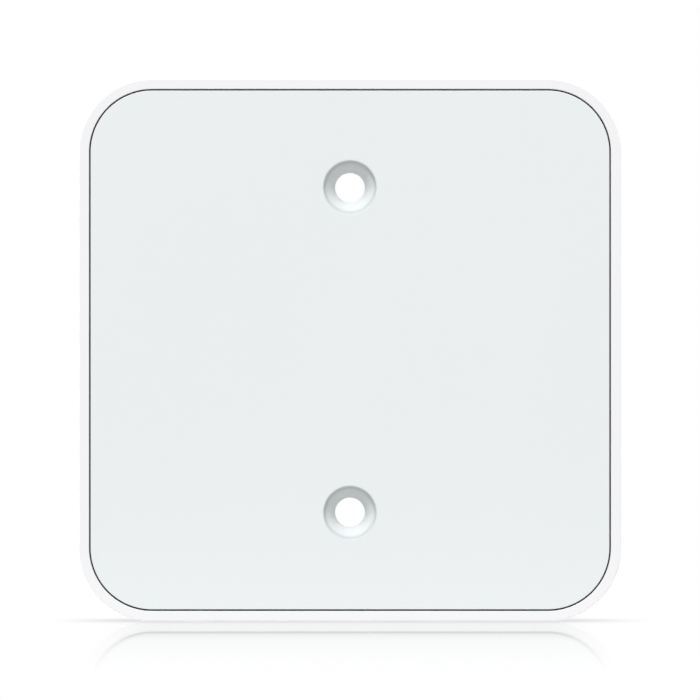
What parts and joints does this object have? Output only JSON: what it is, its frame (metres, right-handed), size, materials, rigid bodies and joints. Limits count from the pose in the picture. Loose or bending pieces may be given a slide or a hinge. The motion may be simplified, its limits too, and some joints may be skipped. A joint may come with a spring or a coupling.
{
  "type": "access point ceiling mount",
  "caption": "Slim rounded-square magnetic mounting plate for a compact ceiling access point, with a flush face panel in a narrow frame and countersunk screw seats.",
  "frame": {"origin": "on the ceiling or wall plane, in the middle between the wall screw holes", "axes": "+Z along the line of the screw holes, +Y into the ceiling or wall, so the face panel looks towards -Y; X across the plate"},
  "size_m": [0.1, 0.0075, 0.1],
  "materials": {
    "tray_plastic": "fine satin moulded white",
    "panel_plastic": "satin white with a cool tint",
    "black_tape": "black foam tape",
    "galvanised_steel": "zinc coated sheet with a fine spangle",
    "carrier_plastic": "black moulded",
    "nickel_plate": "bright nickel",
    "screw_steel": "zinc plated",
    "grip_rubber": "soft matt rubber with a stipple"
  },
  "bodies": {
    "root": {"base_tray": "tray_plastic", "face_panel": "panel_plastic", "panel_tape": "black_tape", "yoke_plate": "galvanised_steel", "magnet_carrier": "carrier_plastic", "magnet_01": "nickel_plate", "magnet_02": "nickel_plate", "magnet_03": "nickel_plate", "magnet_04": "nickel_plate", "magnet_05": "nickel_plate", "magnet_06": "nickel_plate", "magnet_07": "nickel_plate", "magnet_08": "nickel_plate", "magnet_09": "nickel_plate", "magnet_10": "nickel_plate", "magnet_11": "nickel_plate", "magnet_12": "nickel_plate", "yoke_screws": "screw_steel", "grip_pad_1": "grip_rubber", "grip_pad_2": "grip_rubber", "grip_pad_3": "grip_rubber", "grip_pad_4": "grip_rubber"}
  },
  "joints": []
}
